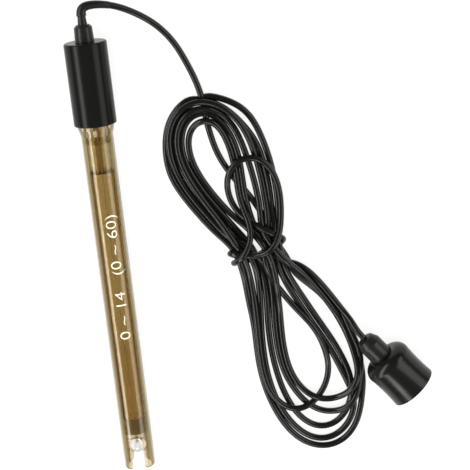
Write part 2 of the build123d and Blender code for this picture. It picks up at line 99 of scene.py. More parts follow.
def grid_mesh(name, points, closed=False):
    """Make a smooth mesh from points[row, column, xyz]: each quad joins (i, j), (i, j+1),
    (i+1, j+1) and (i+1, j). With closed, the last column joins the first, a first or last row
    whose points are all the same becomes one pole, and the faces are turned outwards."""
    rows, columns, _ = points.shape
    index = np.arange(rows * columns).reshape(rows, columns)
    if closed:
        index = np.concatenate([index, index[:, :1]], axis=1)
    corners = [index[:-1, :-1], index[:-1, 1:], index[1:, 1:], index[1:, :-1]]
    faces = np.stack(corners, axis=-1).reshape(-1, 4)
    mesh = bpy.data.meshes.new(name)
    mesh.from_pydata(points.reshape(-1, 3).tolist(), [], faces.tolist())
    if closed:
        work = bmesh.new()
        work.from_mesh(mesh)
        bmesh.ops.remove_doubles(work, verts=work.verts[:], dist=POLE_GAP)
        bmesh.ops.recalc_face_normals(work, faces=work.faces[:])
        work.to_mesh(mesh)
        work.free()
    mesh.polygons.foreach_set("use_smooth", np.full(len(mesh.polygons), True))
    mesh.update()
    return mesh


# %% [markdown]
# The cable. It is one length of 2.5 mm coaxial cable, from the strain relief to the plug. It comes
# down to the table, makes six long turns that are tied at the waist by the cable's own end, and
# leaves for the plug from under the tie. A wound coil could be drawn as a neat spiral, but this
# one is hand wound: its turns differ in size, cross and lie on each other.
#
# So each turn is first written as it is seen from above, in millimetres, as a line of points. The
# lower half of a turn runs from the waist's right side round the bottom and up to its left side,
# and the upper half runs on over the top and back to the right.

# %% Turns of the hank as seen from above
CABLE_DIAMETER = 2.5
CABLE_RADIUS = CABLE_DIAMETER / 2
lower_turns = {
    "outer": [
        (63.4, -10.6), (73.9, -21.1), (81.6, -30.1), (87.4, -40.5), (90.5, -49.8), (91.8, -59.1),
        (91.7, -67.6), (90.9, -75.3), (89.6, -82.3), (86.0, -89.2), (80.3, -93.2), (74.1, -94.2),
        (66.3, -91.2), (60.2, -84.7), (55.7, -74.9), (52.2, -63.1), (51.2, -50.3), (51.4, -37.8),
        (51.1, -28.1), (50.2, -17.1), (48.4, -9.4)],
    "second": [
        (62.6, -13.3), (67.2, -27.9), (71.3, -35.9), (75.4, -41.9), (79.9, -50.7), (83.2, -58.1),
        (85.9, -65.5), (87.8, -71.4), (89.0, -77.2), (86.4, -83.4), (80.6, -89.2), (74.3, -91.6),
        (67.2, -88.4), (61.8, -82.0), (57.8, -74.4), (54.7, -64.8), (53.2, -53.3), (53.6, -42.2),
        (54.3, -31.2), (55.1, -20.4), (55.3, -10.2)],
    "third": [
        (63.2, -11.8), (68.6, -25.3), (73.5, -33.3), (78.0, -42.1), (82.5, -51.0), (85.9, -58.4),
        (88.5, -66.5), (87.5, -73.5), (85.5, -78.4), (82.5, -82.9), (76.8, -85.9), (72.8, -86.2),
        (67.7, -82.7), (63.5, -77.2), (60.3, -69.0), (57.8, -60.2), (56.9, -49.5), (56.8, -39.8),
        (57.2, -28.8), (57.5, -18.6), (57.4, -10.4)],
    "fourth": [
        (62.8, -9.5), (72.2, -18.6), (79.9, -26.9), (84.5, -34.2), (88.3, -43.0), (91.3, -51.7),
        (92.3, -58.8), (91.0, -67.1), (88.5, -73.2), (84.2, -77.7), (79.3, -80.0), (75.3, -79.6),
        (70.9, -76.6), (66.1, -70.7), (62.0, -63.8), (60.2, -55.2), (59.2, -45.3), (59.1, -35.5),
        (59.5, -25.3), (59.1, -15.0), (58.4, -9.6)],
    "small": [
        (55.6, -8.0), (58.5, -18.5), (61.7, -25.8), (68.5, -32.3), (73.2, -38.0), (77.2, -45.4),
        (79.5, -52.7), (79.8, -59.8), (78.0, -66.7), (73.4, -73.3), (67.8, -75.8), (62.4, -76.7),
        (57.3, -72.9), (54.0, -66.1), (52.1, -55.2), (52.0, -44.7), (52.2, -34.3), (51.7, -23.9),
        (50.2, -14.7), (49.4, -8.1)],
    "last": [
        (62.0, -9.0), (69.6, -15.4), (76.8, -24.4), (82.2, -32.6), (86.4, -40.8), (89.6, -49.7),
        (91.8, -58.2), (91.0, -65.0), (87.2, -70.2), (81.6, -73.4), (77.6, -74.0), (69.9, -71.0),
        (65.1, -65.5), (62.1, -58.1), (60.7, -48.9), (60.8, -39.2), (61.2, -28.3), (61.3, -18.1),
        (61.3, -10.0)],
}
upper_turns = {
    "outer": [
        (47.8, -7.8), (40.6, 1.1), (35.5, 8.1), (30.5, 15.0), (26.4, 22.9), (24.2, 31.0),
        (24.1, 38.4), (25.7, 45.2), (29.1, 50.6), (34.4, 53.9), (39.8, 54.3), (44.9, 52.6),
        (49.8, 48.8), (54.2, 43.7), (57.4, 37.9), (59.7, 32.2), (61.2, 25.4), (62.3, 17.4),
        (62.9, 8.9), (62.4, 0.3), (61.4, -7.0)],
    "loose": [
        (47.7, -4.8), (43.3, 1.7), (38.3, 9.1), (33.6, 16.7), (29.6, 24.2), (27.2, 31.9),
        (26.5, 39.0), (27.8, 45.2), (31.0, 50.4), (35.5, 53.3), (40.1, 53.9), (44.3, 53.9),
        (47.9, 52.9), (51.6, 52.2), (55.2, 50.2), (58.1, 46.7), (60.3, 41.5), (61.7, 35.8),
        (62.7, 30.1), (63.7, 25.6), (65.1, 17.6), (65.4, 9.1), (63.8, 0.6), (61.6, -6.5)],
    "third": [
        (51.8, -5.1), (46.6, 3.5), (41.3, 10.8), (36.6, 18.1), (32.6, 25.8), (30.1, 32.8),
        (29.5, 38.4), (30.7, 43.7), (33.8, 48.4), (38.5, 50.3), (42.7, 49.0), (46.2, 45.9),
        (48.9, 41.2), (50.5, 36.1), (52.0, 29.3), (52.3, 22.0), (52.2, 14.7), (52.6, 7.9),
        (54.1, 0.9), (56.3, -4.6)],
    "fourth": [
        (46.9, -5.1), (41.6, 2.6), (36.8, 9.4), (32.0, 16.1), (28.0, 23.9), (25.6, 31.4),
        (24.9, 38.7), (26.0, 44.6), (28.7, 49.8), (33.5, 53.4), (39.0, 54.1), (44.2, 53.0),
        (49.3, 49.8), (53.6, 44.9), (56.4, 39.7), (58.4, 33.4), (59.9, 26.0), (60.8, 18.1),
        (61.0, 9.6), (60.6, 1.0), (60.2, -5.9)],
    "fifth": [
        (49.1, -5.7), (44.3, 2.3), (39.6, 9.7), (34.9, 17.0), (30.8, 24.7), (28.4, 32.2),
        (27.8, 38.9), (29.0, 44.9), (32.0, 49.5), (36.5, 52.0), (40.9, 52.0), (45.5, 49.9),
        (49.4, 45.9), (52.1, 40.7), (54.1, 33.9), (55.8, 26.4), (57.3, 18.4), (58.0, 9.9),
        (58.3, 1.3), (59.2, -5.6)],
    "last": [
        (60.9, -7.6), (59.0, -3.8), (55.0, 0.2), (51.0, 3.0), (47.0, 6.4), (42.4, 10.7),
        (38.2, 17.9), (34.7, 25.0), (31.9, 31.4), (31.6, 36.9), (32.9, 41.7), (35.9, 46.2),
        (39.9, 48.1), (43.6, 47.7), (46.4, 44.6), (48.6, 40.6), (49.8, 35.0), (50.3, 28.8),
        (50.2, 21.0), (50.4, 14.3), (51.6, 7.4), (54.4, 1.2)],
}
winding_order = [
    lower_turns["outer"], upper_turns["outer"], lower_turns["second"], upper_turns["loose"],
    lower_turns["third"], upper_turns["third"], lower_turns["fourth"], upper_turns["fourth"],
    lower_turns["small"], upper_turns["fifth"], lower_turns["last"], upper_turns["last"],
]
collar_loop = [
    (47.3, 8.9), (45.6, 15.8), (45.0, 22.0), (46.8, 27.3), (51.4, 30.6), (57.4, 31.4),
    (62.6, 28.9), (65.3, 23.6), (66.3, 17.4), (66.4, 10.1), (65.8, 3.5), (64.6, -2.4),
    (62.2, -7.2), (58.8, -10.2), (55.2, -10.6), (51.8, -9.2), (48.6, -7.0),
]
print("half turns", len(winding_order), "points", sum(len(half) for half in winding_order))

# %% [markdown]
# The stretches before and after the hank. The lead and the tail are the same points as the CAD
# model's tubes, so the drawn cable lies along them. Between them the cable ties its own hank: it
# crosses the waist, goes round under all the turns and back over the top, makes a loose loop on
# the upper half, goes round the waist once more and leaves for the plug from below.

# %% Lead, tie and tail
lead_in = [
    (0.0, 89.539, 8.646), (0.0, 91.239, 8.673), (0.9, 92.5, 8.65), (2.7, 93.15, 8.5),
    (6.8, 93.1, 7.9), (12.6, 91.7, 6.0), (19.4, 88.2, 4.0), (26.4, 83.1, 2.4),
    (32.2, 76.0, 1.6), (36.2, 67.4, 1.3), (39.4, 58.6, 1.3), (41.0, 50.0, 1.3),
]
under_turns = [
    (41.0, 50.0, 1.3), (41.5, 43.5, 1.3), (41.8, 37.5, 1.3), (43.2, 31.5, 1.3), (46.5, 25.0, 1.3),
    (51.0, 19.0, 1.3), (56.0, 12.5, 1.3), (60.0, 4.5, 1.5), (62.0, -4.0, 2.0),
]
STACK_STEP = 2.6
FIRST_HEIGHT = 2.5
stack_top = FIRST_HEIGHT + STACK_STEP * len(winding_order)
first_tie = [
    (56.8, -1.2, stack_top + 1.8), (57.6, -3.8, stack_top + 3.2), (55.4, -6.2, stack_top + 3.4),
    (51.0, -8.2, stack_top + 3.2), (47.0, -10.2, stack_top - 3), (45.2, -11.2, 6),
    (46.2, -11.6, 2), (49.5, -11.4, 1.3), (56.0, -9.6, 1.3), (61.5, -7.8, 1.3), (63.9, -6.6, 2),
    (64.6, -5.4, 6), (64.2, -4.0, stack_top - 4), (62.2, -2.4, stack_top - 1.2),
    (58.5, -0.6, stack_top - 0.6), (53.2, 1.6, stack_top - 0.8), (49.6, 4.8, stack_top - 0.5),
]
second_tie = [
    (46.0, -6.2, stack_top - 3), (44.6, -6.4, stack_top - 8), (44.4, -6.8, 6), (45.4, -7.4, 2),
    (49.0, -8.0, 1.3), (56.0, -9.6, 1.3), (62.5, -12.0, 1.3), (69.5, -15.4, 1.3),
    (75.6, -20.8, 1.3), (80.6, -27.2, 1.6), (84.0, -32.2, 3.0),
]
tail_out = [
    (86.2, -35.2, 5.0), (88.8, -38.8, 7.8), (90.972, -43.135, 9.7), (93.084, -45.8, 9.7),
]
plug_mouth = np.array([110.6, -67.9, 9.7])
plug_back = np.array([-0.62115, 0.78369, 0.0])
plug_zones = ((0.0, 18.6, 9.7), (18.6, 28.2, 4.6))

# %% [markdown]
# The start of the winding. Each half turn climbs one step above the half before it, so at first no
# turn touches another and their order is the order of winding. The heights could be drawn by hand
# for every point, but a plain ramp is enough, because the settling gives each point its true
# height. The whole line is cut into even steps, since the settling compares neighbours.


# %% Stacked route
POINT_STEP = 2.4
LOOSE, HELD, TIE, FIXED = 0, 1, 2, 3
COLLAR_KNOTS = [0, 2, 10, 12]
COLLAR_HEIGHTS = np.array([-0.5, 2.0, 4.6, 1.5, -1.0])


def stacked_route():
    """Return the route's points, evenly spaced along straight runs, and what holds each: half turn
    number k climbs from k to k + 1 stack steps."""
    stretches = [(np.array(under_turns), LOOSE)]
    height = FIRST_HEIGHT
    for half in winding_order:
        plan = np.array(half)
        climb = height + STACK_STEP * np.linspace(0, 1, len(plan))
        stretches.append((np.column_stack([plan, climb]), HELD))
        height += STACK_STEP
    plan = np.array(collar_loop)
    knots = [*COLLAR_KNOTS, len(plan) - 1]
    climb = np.interp(np.arange(len(plan)), knots, height + COLLAR_HEIGHTS)
    stretches.append((np.array(first_tie), TIE))
    stretches.append((np.column_stack([plan, climb]), HELD))
    stretches.append((np.array(second_tie), TIE))
    stretches.append((np.array(tail_out), FIXED))
    points = np.vstack([part for part, _ in stretches])
    holds = np.concatenate([np.full(len(part), hold) for part, hold in stretches])
    run = np.concatenate([[0], np.cumsum(np.linalg.norm(np.diff(points, axis=0), axis=1))])
    along = np.linspace(0, run[-1], int(run[-1] / POINT_STEP) + 1)
    even = np.stack([np.interp(along, run, points[:, k]) for k in range(3)], axis=1)
    nearest = np.clip(np.searchsorted(run, along), 0, len(holds) - 1)
    return even, holds[nearest]


route, holds = stacked_route()
print("route points", len(route), "highest", round(float(route[:, 2].max()), 2), "mm")

# %% [markdown]
# The settling. The turns sink onto the table and onto each other as a real cable would. Each step
# lowers every point a little, pulls it towards its own drawn line, smooths its bend, and pushes
# apart any two points that are closer than a diameter. A physics simulation of a rope would do the
# same with more parts to set, so plain arrays are used: the result is the same at every run.


# %% Settle the turns
SPACING = 2.6
SETTLE_STEPS = 600
LATE_FROM = 450
SEARCH_EVERY = 4
SEARCH_MARGIN = 1.2
NEIGHBOURS = 6
PLUG_GAP = 0.1
TABLE_GAP = 0.02
DRAWN_ROUNDS = 12
PUSH_ROUNDS = 3
LAST_ROUNDS = 4
FALL = 0.10
LATE_FALL = 0.01
LOOSE_PULL = 0.10
HELD_PULL = 0.20
LATE_PULL = 0.04
TIE_PULL = 0.02
TIE_SMOOTHING = 0.40
SMOOTHING = 0.03
LAST_SMOOTHING = 0.3
BEND_SMOOTHING = 0.6
PUSH_SHARE = 1.4


def keep_off_plug(points, free):
    """Move points out of the plug: its axis keeps them one zone radius and half a cable away."""
    along = (points - plug_mouth) @ plug_back
    offset = points - plug_mouth - along[:, None] * plug_back
    distance = np.linalg.norm(offset, axis=1)
    for start, end, radius in plug_zones:
        reach = radius + CABLE_RADIUS + PLUG_GAP
        inside = free[:, 0] & (along > start) & (along < end) & (distance < reach)
        points[inside] += offset[inside] * ((reach - distance) / distance)[inside, None]


def settle(route, holds):
    """Lower the points onto each other: gravity, a pull to the drawn line, a smoothing of each
    bend by its neighbours, and a push that keeps centre lines one spacing apart."""
    points = route.copy()
    count = len(points)
    free = (holds != FIXED)[:, None]
    drawn = route[:, :2].copy()
    for _ in range(DRAWN_ROUNDS):
        drawn[1:-1] += 0.5 * (0.5 * (drawn[:-2] + drawn[2:]) - drawn[1:-1])
    order = np.arange(count)
    later = order[None, :] - order[:, None] > NEIGHBOURS
    for step in range(SETTLE_STEPS):
        late = step > LATE_FROM
        if step % SEARCH_EVERY == 0:
            gap = ((points[:, None, :] - points[None, :, :]) ** 2).sum(-1)
            one, two = np.nonzero((gap < (SPACING + SEARCH_MARGIN) ** 2) & later)
        pulls = [LOOSE_PULL, LATE_PULL if late else HELD_PULL, TIE_PULL]
        pull = np.select([holds == LOOSE, holds == HELD, holds == TIE], pulls, 0.0)
        points[:, 2] -= (LATE_FALL if late else FALL) * free[:, 0]
        points[:, :2] += pull[:, None] * (drawn - points[:, :2])
        straight = np.zeros_like(points)
        straight[1:-1] = 0.5 * (points[:-2] + points[2:]) - points[1:-1]
        bend = np.zeros_like(points)
        bend[2:-2] = (
            -points[:-4] + 4 * points[1:-3] - 6 * points[2:-2] + 4 * points[3:-1] - points[4:]
        ) / 16
        tight = np.where(holds == TIE, TIE_SMOOTHING, SMOOTHING)[:, None]
        points += free * (tight * straight + BEND_SMOOTHING * bend)
        for _ in range(PUSH_ROUNDS):
            apart = points[two] - points[one]
            distance = np.linalg.norm(apart, axis=1) + 1e-9
            close = distance < SPACING
            push = (0.5 * (SPACING - distance) / distance)[close, None] * apart[close]
            moved = np.zeros_like(points)
            hits = np.zeros(count)
            np.add.at(moved, one[close], -push)
            np.add.at(moved, two[close], push)
            np.add.at(hits, one[close], 1)
            np.add.at(hits, two[close], 1)
            points += free * PUSH_SHARE * moved / np.maximum(hits, 1)[:, None]
            on_table = np.maximum(points[:, 2], CABLE_RADIUS + TABLE_GAP)
            points[:, 2] = np.where(free[:, 0], on_table, points[:, 2])
            keep_off_plug(points, free)
    for _ in range(LAST_ROUNDS):
        middle = 0.5 * (points[:-2] + points[2:])
        points[1:-1] += LAST_SMOOTHING * free[1:-1] * (middle - points[1:-1])
    return points


settled = settle(route, holds)
print("settled points", len(settled), "highest", round(float(settled[:, 2].max()), 2), "mm")

# %% [markdown]
# The cable itself is a curve object with one open NURBS spline, so its line stays smooth however
# coarse the points are. A swept mesh would look the same, but a curve keeps its length and its
# thickness as plain values. The curve's bevel gives it its thickness. The order and the end points
# are set after the points are added, because otherwise the spline is made of straight runs. A
# point's radius starts as one metre, which Blender adds to the curve's box, so it is set to one
# millimetre here and the bevel is counted in millimetres.

# %% Cable curve
HANK_STEP = 2
SPLINE_ORDER = 3
SPLINE_STEPS = 5
BEVEL_STEPS = 5
tail_from = int(np.argmax(holds == FIXED)) - 1
line = np.vstack([np.array(lead_in), settled[1:tail_from:HANK_STEP], np.array(tail_out)]) * MM
cable_curve = bpy.data.curves.new("cable", "CURVE")
cable_curve.dimensions = "3D"
cable_curve.bevel_depth = CABLE_RADIUS
cable_curve.bevel_resolution = BEVEL_STEPS
cable_curve.resolution_u = SPLINE_STEPS
cable_curve.use_fill_caps = True
spline = cable_curve.splines.new("NURBS")
spline.points.add(len(line) - 1)
spline.points.foreach_set("co", np.column_stack([line, np.ones(len(line))]).ravel())
spline.points.foreach_set("radius", np.full(len(line), MM))
spline.order_u = SPLINE_ORDER
spline.use_endpoint_u = True
cable = link(cable_curve, "cable")
cable_length = float(np.linalg.norm(np.diff(line, axis=0), axis=1).sum())
print("cable points", len(line), "run length", round(cable_length, 3), "m")

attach(cable, "electrode")
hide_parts("cable_lead", "cable_hank", "cable_tail")

# %% [markdown]
# The bend sleeve. Where the cable leaves the strain relief, a thin rubber sleeve goes on along it
# and tapers out, which spreads the bend. It could be a cone, but the cable bends inside it, so a
# round profile is carried along the cable's own line. That line is read from a copy of the curve
# with no bevel.

# %% Bend sleeve
SLEEVE_LENGTH = 13.0
SLEEVE_STATIONS = [0.0, 5.0, SLEEVE_LENGTH]
SLEEVE_RADII = [1.85, 1.62, 1.34]
SLEEVE_RINGS = 40
END_SHARE = 0.05


def curve_line(curve):
    """Return the smooth line of a curve object's data as points[i, xyz] in metres."""
    plain = curve.copy()
    plain.bevel_depth = 0
    holder = link(plain, "plain_line")
    depsgraph = bpy.context.evaluated_depsgraph_get()
    mesh = bpy.data.meshes.new_from_object(holder.evaluated_get(depsgraph))
    points = np.empty(len(mesh.vertices) * 3)
    mesh.vertices.foreach_get("co", points)
    bpy.data.objects.remove(holder)
    bpy.data.meshes.remove(mesh)
    return points.reshape(-1, 3)


def tube_along(points, radii, sides=32):
    """Carry a circle along a line: ring i is points[i] + radii[i] (cos a u + sin a v), where u and
    v stand square to the line's direction. An end whose radius is 0 closes."""
    forward = np.gradient(points, axis=0)
    forward /= np.linalg.norm(forward, axis=1)[:, None]
    across = np.cross(forward, [0.0, 0.0, 1.0])
    across /= np.linalg.norm(across, axis=1)[:, None]
    upward = np.cross(across, forward)
    angle = np.linspace(0, 2 * np.pi, sides, endpoint=False)
    circle = np.cos(angle)[:, None] * across[:, None] + np.sin(angle)[:, None] * upward[:, None]
    return points[:, None] + radii[:, None, None] * circle


cable_line = curve_line(cable_curve)
cable_run = np.concatenate([[0], np.cumsum(np.linalg.norm(np.diff(cable_line, axis=0), axis=1))])
stations = np.linspace(0, SLEEVE_LENGTH, SLEEVE_RINGS) * MM
sleeve_line = np.stack([np.interp(stations, cable_run, cable_line[:, k]) for k in range(3)], axis=1)
sleeve_radii = np.interp(stations / MM, SLEEVE_STATIONS, SLEEVE_RADII) * MM
sleeve_line = np.vstack([sleeve_line[:1], sleeve_line, sleeve_line[-1:]])
sleeve_line[0] -= (sleeve_line[2] - sleeve_line[1]) * END_SHARE
sleeve_line[-1] += (sleeve_line[-2] - sleeve_line[-3]) * END_SHARE
sleeve_radii = np.concatenate([[0.0], sleeve_radii, [0.0]])
sleeve = link(grid_mesh("bend_sleeve", tube_along(sleeve_line, sleeve_radii), True), "bend_sleeve")
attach(sleeve, "electrode")
print("sleeve rings", len(sleeve_line), "from", np.round(sleeve_line[1] / MM, 2))

# %% [markdown]
# The gel. In the CAD model it is a hollow body a hair smaller than the tube. For the light, what
# counts is which surfaces a ray crosses. Glass that stands in a liquid hardly shows, so the gel is
# drawn as one full column, and inside it the stem and the buffer let light straight through and
# only tint it. The shape is one profile turned about the tube's axis, with a dished top where the
# gel climbs its wall. Its edges are marked sharp, because a flat end that is shaded as if it were
# round would bend the light like a lens.

# %% Gel column
LEAN = math.radians(0.915)
foot = np.array([0.0, -89.5386, 5.78514])
along_axis = np.array([0.0, math.cos(LEAN), math.sin(LEAN)])
out_axis = np.array([0.0, -math.sin(LEAN), math.cos(LEAN)])
side_axis = np.array([1.0, 0.0, 0.0])
SEAL_END = 21.0
GEL_LEVEL = 120.7
GEL_RADIUS = 4.8
GEL_DISH = 0.6
EDGE_ANGLE = math.radians(40)


def turned(profile, columns=96):
    """Turn a profile of (radius, station) about the tube's axis: a point is foot + station along
    the axis + radius (sin a side + cos a out)."""
    angle = np.linspace(0, 2 * np.pi, columns, endpoint=False)
    wheel = np.sin(angle)[:, None] * side_axis + np.cos(angle)[:, None] * out_axis
    radius, station = np.array(profile).T
    return foot + station[:, None, None] * along_axis + radius[:, None, None] * wheel[None]


gel_profile = [
    (0.0, SEAL_END + 0.05), (4.6, SEAL_END + 0.05), (GEL_RADIUS, SEAL_END + 0.25),
    (GEL_RADIUS, GEL_LEVEL + 0.35), (4.7, GEL_LEVEL + 0.1), (4.4, GEL_LEVEL - 0.15),
    (4.0, GEL_LEVEL - 0.4), (3.3, GEL_LEVEL - 0.55), (0.0, GEL_LEVEL - GEL_DISH),
]
gel_mesh = grid_mesh("gel_column", turned(gel_profile) * MM, True)
gel_mesh.set_sharp_from_angle(angle=EDGE_ANGLE)
gel_column = link(gel_mesh, "gel_column")
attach(gel_column, "electrode")
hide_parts("reference_gel")
print("gel column", len(gel_mesh.polygons), "faces")

# %% [markdown]
# The printed numbers. Such tubes carry their ranges in pale print along the shaft. Here it is only
# plain numbers. They could be a pattern in the tube's material, but real print lies on the surface,
# so it is thin geometry. A flat text is turned into a mesh, cut into narrow strips across its
# height so that it can bend, and wrapped round the tube: its length runs along the tube and its
# height runs round it.

# %% Printed numbers
PRINT_START = 54.5
PRINT_LENGTH = 50.0
PRINT_HEIGHT = 4.1
PRINT_THICKNESS = 0.02
CAPITAL_SHARE = 0.7
THINNING = -0.02
LETTER_STEPS = 3
CUT_LEVELS = np.linspace(-0.2, 1.1, 14)
PRINT_ANGLE = math.radians(14.5)
PRINT_LIFT = 0.03
TUBE_RADIUS = 6.0


def flat_text(words):
    """Return a text's mesh in metres, as high as the print, cut every tenth of that height."""
    height = PRINT_HEIGHT * MM
    letters = bpy.data.curves.new("letters", "FONT")
    letters.body = words
    letters.size = height / CAPITAL_SHARE
    letters.extrude = PRINT_THICKNESS * MM / 2
    letters.resolution_u = LETTER_STEPS
    letters.offset = THINNING * height
    holder = link(letters, "letters")
    depsgraph = bpy.context.evaluated_depsgraph_get()
    mesh = bpy.data.meshes.new_from_object(holder.evaluated_get(depsgraph))
    bpy.data.objects.remove(holder)
    work = bmesh.new()
    work.from_mesh(mesh)
    for level in CUT_LEVELS * height:
        everything = work.verts[:] + work.edges[:] + work.faces[:]
        bmesh.ops.bisect_plane(work, geom=everything, plane_co=(0, level, 0), plane_no=(0, 1, 0))
    bmesh.ops.triangulate(work, faces=work.faces[:])
    work.to_mesh(mesh)
    work.free()
    return mesh


def wrapped_round(flat):
    """Wrap flat points round the tube: x runs along the axis from the print's start, y runs round
    the wall as an angle of y / radius, and z lifts the point off the wall."""
    around = PRINT_ANGLE - (flat[:, 1] - flat[:, 1].mean()) / TUBE_RADIUS
    reach = (TUBE_RADIUS + PRINT_LIFT + flat[:, 2])[:, None]
    wheel = np.sin(around)[:, None] * side_axis + np.cos(around)[:, None] * out_axis
    return foot + (PRINT_START + flat[:, :1]) * along_axis + reach * wheel


scale_mesh = flat_text("0 ~ 14   (0 ~ 60)")
flat = np.empty(len(scale_mesh.vertices) * 3)
scale_mesh.vertices.foreach_get("co", flat)
flat = flat.reshape(-1, 3) / MM
flat[:, 0] *= PRINT_LENGTH / flat[:, 0].max()
scale_mesh.vertices.foreach_set("co", (wrapped_round(flat) * MM).ravel())
scale_mesh.update()
scale_mesh.name = "printed_numbers"
printed_numbers = link(scale_mesh, "printed_numbers")
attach(printed_numbers, "electrode")
print("printed numbers", len(scale_mesh.polygons), "faces")

# %% [markdown]
# Two helpers for materials. A finish could be set up by hand in the shader editor, but a finish
# that is written out can be read, changed and made again. The first helper gives an empty
# material and its node tree, and the second adds a node and sets its plain values.


# %% Material helpers
def new_material(name):
    material = bpy.data.materials.new(name)
    material.use_nodes = True
    material.node_tree.nodes.clear()
    return material, material.node_tree


def add_node(tree, kind, **values):
    node = tree.nodes.new(kind)
    for key, value in values.items():
        setattr(node, key, value)
    return node


# %% [markdown]
# The table. The object lies on a white sheet, as in a small photo booth. The sheet is white
# because of its own colour, and not because of strong lamps. A plain white background would do
# too, but then the object would seem to float. So the sheet is real and takes the shadow, and to
# the camera, and in glass and gloss, a part of its white comes from a plain white emission.

# %% Floor
FLOOR_HALF = 1.5
FLOOR_COLUMNS = 9
FLOOR_DROP = 0.0001
FLOOR_GREY = 0.93
FLOOR_GLOW = 0.80
floor_steps = np.linspace(-FLOOR_HALF, FLOOR_HALF, FLOOR_COLUMNS)
floor_x, floor_y = np.meshgrid(floor_steps, floor_steps)
floor_points = np.stack([floor_x, floor_y, np.full_like(floor_x, -FLOOR_DROP)], axis=-1)
floor = link(grid_mesh("floor", floor_points), "floor")

floor_material, tree = new_material("white_sheet")
diffuse = add_node(tree, "ShaderNodeBsdfDiffuse")
diffuse.inputs["Color"].default_value = (FLOOR_GREY, FLOOR_GREY, FLOOR_GREY, 1)
glow = add_node(tree, "ShaderNodeEmission")
glow.inputs["Color"].default_value = (1, 1, 1, 1)
path = add_node(tree, "ShaderNodeLightPath")
seen_or_gloss = add_node(tree, "ShaderNodeMath", operation="MAXIMUM")
seen_at_all = add_node(tree, "ShaderNodeMath", operation="MAXIMUM")
share = add_node(tree, "ShaderNodeMath", operation="MULTIPLY")
share.inputs[1].default_value = FLOOR_GLOW
mix = add_node(tree, "ShaderNodeMixShader")
output = add_node(tree, "ShaderNodeOutputMaterial")
tree.links.new(path.outputs["Is Camera Ray"], seen_or_gloss.inputs[0])
tree.links.new(path.outputs["Is Glossy Ray"], seen_or_gloss.inputs[1])
tree.links.new(seen_or_gloss.outputs[0], seen_at_all.inputs[0])
tree.links.new(path.outputs["Is Transmission Ray"], seen_at_all.inputs[1])
tree.links.new(seen_at_all.outputs[0], share.inputs[0])
tree.links.new(share.outputs[0], mix.inputs[0])
tree.links.new(diffuse.outputs[0], mix.inputs[1])
tree.links.new(glow.outputs[0], mix.inputs[2])
tree.links.new(mix.outputs[0], output.inputs["Surface"])
floor.data.materials.append(floor_material)
print("floor", 2 * FLOOR_HALF, "m wide")

# %% [markdown]
# The booth. The camera sees plain white beyond the sheet, so the background has no horizon. For
# the light there is only a weak fill, as from the walls of a room. One background colour could do
# both, but a white that strong would wash out the lamps' shadows.

# %% World
BOOTH_STRENGTH = 0.06
world = bpy.data.worlds.new("booth")
bpy.context.scene.world = world
world.use_nodes = True
tree = world.node_tree
tree.nodes.clear()
path = add_node(tree, "ShaderNodeLightPath")
booth_light = add_node(tree, "ShaderNodeBackground")
booth_light.inputs["Color"].default_value = (1.0, 0.99, 0.97, 1)
booth_light.inputs["Strength"].default_value = BOOTH_STRENGTH
booth_white = add_node(tree, "ShaderNodeBackground")
booth_white.inputs["Color"].default_value = (1, 1, 1, 1)
booth_white.inputs["Strength"].default_value = 1.0
mix = add_node(tree, "ShaderNodeMixShader")
output = add_node(tree, "ShaderNodeOutputWorld")
tree.links.new(path.outputs["Is Camera Ray"], mix.inputs[0])
tree.links.new(booth_light.outputs[0], mix.inputs[1])
tree.links.new(booth_white.outputs[0], mix.inputs[2])
tree.links.new(mix.outputs[0], output.inputs["Surface"])
print("world", world.name, "fill", BOOTH_STRENGTH)

# %% [markdown]
# The lamps. A picture of a room could light the scene, but here each highlight in the photograph
# asks for its own lamp. A long lamp on each side draws a streak along the cap and the tube, and a
# small one in front lights the plug's grip. The large one above makes the soft shadow. It is hidden
# from gloss and glass, because its mirror image would turn every black piece grey. Each lamp is
# given as its place, its size across, its size along the electrode and its power in watts.

# %% Lamps
LAMP_COLOR = (1.0, 0.985, 0.93)
AIM_X = 0.04
lamps = {
    "left_softbox": ((-0.47, -0.10, 0.37), 0.20, 1.20, 5.6),
    "right_softbox": ((0.57, -0.10, 0.38), 0.34, 1.20, 3.8),
    "plug_softbox": ((-0.06, -0.43, 0.38), 0.20, 0.20, 1.2),
    "top_softbox": ((0.05, -0.10, 0.90), 0.90, 0.90, 10.0),
}
for name, (place, across, along_y, power) in lamps.items():
    lamp = bpy.data.lights.new(name, "AREA")
    lamp.shape = "RECTANGLE"
    lamp.size = along_y
    lamp.size_y = across
    lamp.energy = power
    lamp.color = LAMP_COLOR
    light = link(lamp, name)
    aim = Vector((AIM_X, place[1], 0.0)) - Vector(place)
    light.location = place
    light.rotation_euler = aim.to_track_quat("-Z", "Y").to_euler()
    light.visible_glossy = name != "top_softbox"
    light.visible_transmission = name != "top_softbox"
print("lamps", {name: lamp[-1] for name, lamp in lamps.items()})

# %% [markdown]
# Shared effects. Moulded plastic and rubber are never quite even: the surface carries a fine
# grain, and handling leaves slightly duller patches. Both are patterns of a number over space, so
# they are one node group with an input for each material's own amount, and it gives out only a
# roughness and a normal.


# %% Surface group
PATCH_SCALE = 160.0
GRAIN_DEPTH = 0.00005


